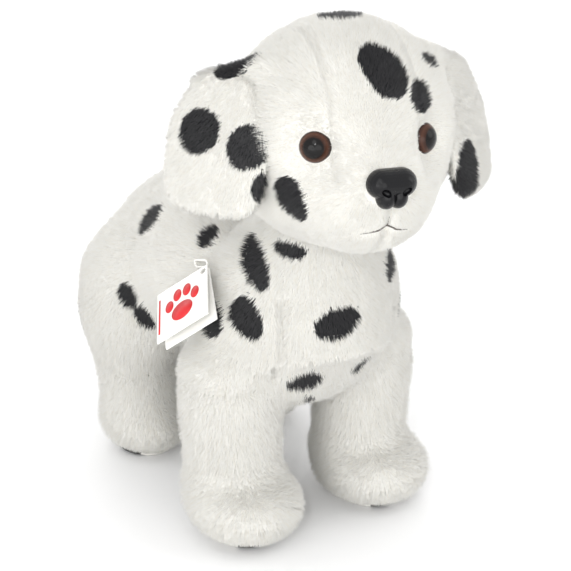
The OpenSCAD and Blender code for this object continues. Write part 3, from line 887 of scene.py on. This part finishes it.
# The front leaf's frame: from the corner by its hole, X and Y run along the leaf and Z out of it
TAG_CORNER, TAG_TURN = np.array([-47.99, -26.65, 139.88]), (31, -37, -49)
PRINT_LOW, PRINT_HIGH, PRINT_X = 0.3, 0.42, -15.5
# Pads of the paw: middle and half sizes, with the large pad first
PADS = ((0, -19.2, 6.4, 5.2), (-7.8, -12.8, 2.5, 3.4), (-2.9, -8.4, 2.5, 3.5), (2.9, -8.4, 2.5, 3.5),
        (7.8, -12.8, 2.5, 3.4))
RULE = ((-30, -26), (-29, -26), (-29, -5), (-30, -5))


def printed_slab(outline, start):
    """A thin slab over an outline, as points and triangles that are numbered from start."""
    n = len(outline)
    x, y = np.mean(outline, 0)
    points = [(*xy, height) for height in (PRINT_LOW, PRINT_HIGH) for xy in outline]
    points += [(x, y, PRINT_LOW), (x, y, PRINT_HIGH)]
    faces = []
    for k in range(n):
        j = (k + 1) % n
        faces += [(k, j, n + j), (k, n + j, n + k), (2 * n, j, k), (2 * n + 1, n + k, n + j)]
    return points, [tuple(start + i for i in face) for face in faces]


circle = [2 * math.pi * k / 32 for k in range(32)]
outlines = [[(PRINT_X + x + rx * math.cos(t), y + ry * math.sin(t)) for t in circle] for x, y, rx, ry in PADS]
print_points, print_faces = [], []
for outline in (*outlines, RULE):
    points, faces = printed_slab(outline, len(print_points))
    print_points += points
    print_faces += faces
print_material = material("tag_print", (0.62, 0.012, 0.016), 0.45, 0.001)
paw_print = mesh_object("tag_paw_print", Place(turned(*TAG_TURN), TAG_CORNER).out(np.array(print_points)),
                        np.array(print_faces), [print_material])
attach(paw_print, "tag")

# ---- Stage, light and camera ----

FLOOR_HALF = 6.0
floor_mesh = bpy.data.meshes.new("floor")
floor_corners = [(x * FLOOR_HALF, y * FLOOR_HALF, 0) for x, y in ((-1, -1), (1, -1), (1, 1), (-1, 1))]
floor_mesh.from_pydata(floor_corners, [], [(0, 1, 2, 3)])
floor = bpy.data.objects.new("floor", floor_mesh)
bpy.context.collection.objects.link(floor)
floor_mesh.materials.append(material("floor", (0.93, 0.93, 0.93), 0.9, 0.01))

bpy.context.scene.view_settings.view_transform = "Standard"
world = bpy.data.worlds.new("studio")
bpy.context.scene.world = world
world.use_nodes = True
world.node_tree.nodes["Background"].inputs["Color"].default_value = (1, 1, 1, 1)
world.node_tree.nodes["Background"].inputs["Strength"].default_value = 1.08

TARGET = Vector((0, 0.0005, 0.125))


def area_light(name, place, size, power):
    light = bpy.data.lights.new(name, "AREA")
    light.shape, light.size, light.energy = "DISK", size, power
    lamp = bpy.data.objects.new(name, light)
    lamp.location = place
    lamp.rotation_euler = (TARGET - Vector(place)).to_track_quat("-Z", "Y").to_euler()
    bpy.context.collection.objects.link(lamp)


area_light("key", (-1.1, -1.0, 1.5), 0.9, 3)
area_light("fill", (1.2, -1.1, 0.9), 1.2, 4)
area_light("front", (-0.5, -1.5, 0.25), 1.2, 5)
area_light("glint", (-0.75, -0.95, 0.85), 0.08, 2.5)
area_light("low", (-1.1, -0.6, 0.15), 1.0, 5)
area_light("back", (0.5, 1.5, 0.8), 1.2, 6)

AZIMUTH, ELEVATION, DISTANCE = math.radians(-31), math.radians(21.5), 0.8
level = math.cos(ELEVATION)
back = Vector((math.sin(AZIMUTH) * level, -math.cos(AZIMUTH) * level, math.sin(ELEVATION)))
right = Vector((math.cos(AZIMUTH), math.sin(AZIMUTH), 0))
up = back.cross(right)
camera_data = bpy.data.cameras.new("camera")
camera_data.lens, camera_data.sensor_width = 103.4, 36
camera = bpy.data.objects.new("camera", camera_data)
camera.location = TARGET + back * DISTANCE
aim = TARGET + right * 0.0090 - up * 0.0149
camera.rotation_euler = (aim - camera.location).to_track_quat("-Z", "Y").to_euler()
bpy.context.collection.objects.link(camera)
bpy.context.scene.camera = camera

bpy.context.view_layer.update()
